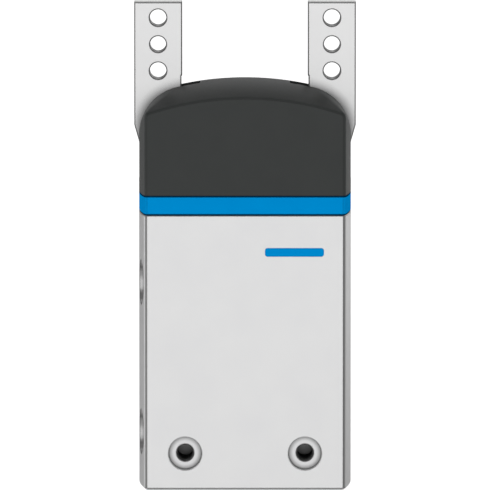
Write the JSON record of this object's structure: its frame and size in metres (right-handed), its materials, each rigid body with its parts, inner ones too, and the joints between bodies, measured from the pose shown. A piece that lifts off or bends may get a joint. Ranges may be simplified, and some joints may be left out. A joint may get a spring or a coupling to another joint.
{
  "type": "pneumatic radial gripper",
  "caption": "Compact pneumatic gripper: an air piston in a flat rectangular housing swings two slim drilled fingers outwards through a right angle.",
  "frame": {"origin": "centre of the bottom face of the housing", "axes": "+Z from the mounting base to the fingertips, +X across the wide front towards the right finger, -Y out of the front face"},
  "size_m": [0.0334, 0.022, 0.0729],
  "materials": {
    "anodised_aluminium": "fine satin, clear anodised",
    "machined_aluminium": "machined",
    "blue_plastic": "satin, injection moulded",
    "black_plastic": "fine matt texture, injection moulded",
    "finger_steel": "ground, bare steel",
    "steel": "hardened, milled",
    "ground_steel": "ground and polished",
    "zinc_screw": "zinc plated",
    "black_screw": "black oxide",
    "bronze": "sintered bronze",
    "seal_rubber": "smooth elastomer",
    "magnet": "plastic-bonded ferrite"
  },
  "bodies": {
    "gripper_body": {"housing": "anodised_aluminium", "spacer_ring": "blue_plastic", "cover": "black_plastic", "finger_carrier": "machined_aluminium", "rod_guide": "machined_aluminium", "rod_bush": "bronze", "rod_seal": "seal_rubber", "guide_o_ring": "seal_rubber", "bumper_lower": "seal_rubber", "bumper_upper": "seal_rubber", "carrier_screws": "zinc_screw", "locating_pins": "ground_steel", "cover_screws": "black_screw", "pivot_pin_left": "ground_steel", "pivot_spacer_front_left": "steel", "pivot_spacer_back_left": "steel", "pivot_pin_right": "ground_steel", "pivot_spacer_front_right": "steel", "pivot_spacer_back_right": "steel"},
    "piston_unit": {"piston_rod": "ground_steel", "piston": "machined_aluminium", "piston_seal_lower": "seal_rubber", "piston_seal_upper": "seal_rubber", "piston_magnet": "magnet", "piston_screw": "zinc_screw", "yoke": "steel", "yoke_screw": "zinc_screw"},
    "left_finger": {"finger_left": "finger_steel", "pivot_bush_left": "bronze", "drive_pin_left": "ground_steel"},
    "right_finger": {"finger_right": "finger_steel", "pivot_bush_right": "bronze", "drive_pin_right": "ground_steel"}
  },
  "joints": [
    {"name": "piston_slide", "type": "slide", "parent": "gripper_body", "child": "piston_unit", "axis": [0, 0, 1], "range_m": [0, 0.00636]},
    {"name": "finger_left_swing", "type": "hinge", "parent": "gripper_body", "child": "left_finger", "pos_m": [-0.0094, 0, 0.0539], "axis": [0, -1, 0], "range_deg": [0, 90]},
    {"name": "finger_right_swing", "type": "hinge", "parent": "gripper_body", "child": "right_finger", "pos_m": [0.0094, 0, 0.0539], "axis": [0, 1, 0], "range_deg": [0, 90]}
  ],
  "couplings": [
    {"joint": "finger_left_swing", "follows": "piston_slide", "rad_per_m": 246.83},
    {"joint": "finger_right_swing", "follows": "piston_slide", "rad_per_m": 246.83}
  ]
}
